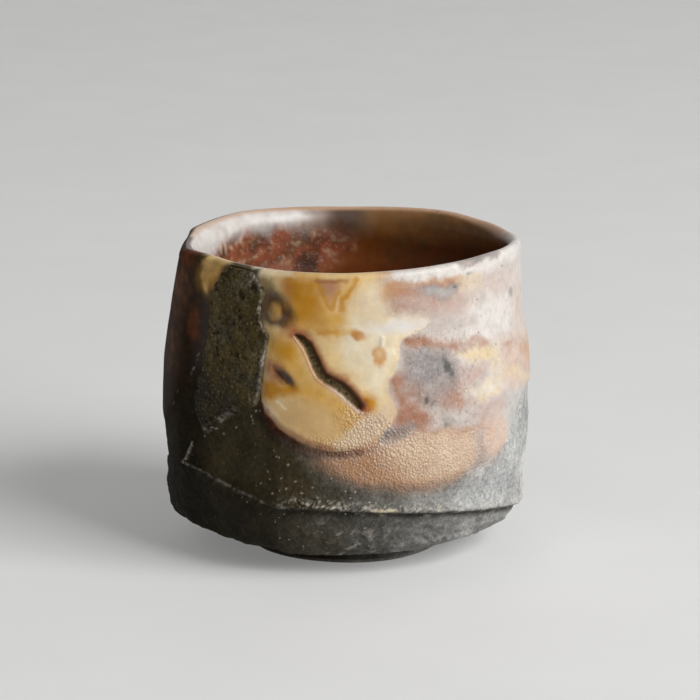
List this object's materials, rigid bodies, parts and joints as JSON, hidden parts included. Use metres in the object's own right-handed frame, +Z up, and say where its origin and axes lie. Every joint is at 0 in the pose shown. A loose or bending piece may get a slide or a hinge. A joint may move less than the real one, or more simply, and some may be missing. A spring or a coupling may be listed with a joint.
{
  "type": "guinomi sake cup",
  "caption": "Small hand-thrown stoneware sake cup: barrel body with wire-cut facets, low foot ring, poured glaze pool, ash crust and glazed bowl.",
  "frame": {"origin": "centre of the cup's footprint, on the surface that the foot ring stands on", "axes": "+Z up to the lip, -Y towards the front with the glaze pool, +X to the cup's right"},
  "size_m": [0.065, 0.0653, 0.0548],
  "materials": {
    "bare_stoneware": "rough unglazed dark grey stoneware with pale grit",
    "foot_stoneware": "rough unglazed dark stoneware, rubbed smooth where it stands",
    "liner_glaze": "glossy mottled red-brown glaze, pale over the lip",
    "coat_glaze": "thin feldspar glaze, pale pink to orange-brown, fine orange-peel surface",
    "pool_glaze": "thick glossy cream to amber glaze with brown edges",
    "ash_crust": "rough fused kiln ash, dark olive-brown with pale grey grains"
  },
  "bodies": {
    "root": {"clay_body": "bare_stoneware", "foot_ring": "foot_stoneware", "liner_glaze": "liner_glaze", "outer_glaze": "coat_glaze", "glaze_pool": "pool_glaze", "ash_crust": "ash_crust"}
  },
  "joints": []
}
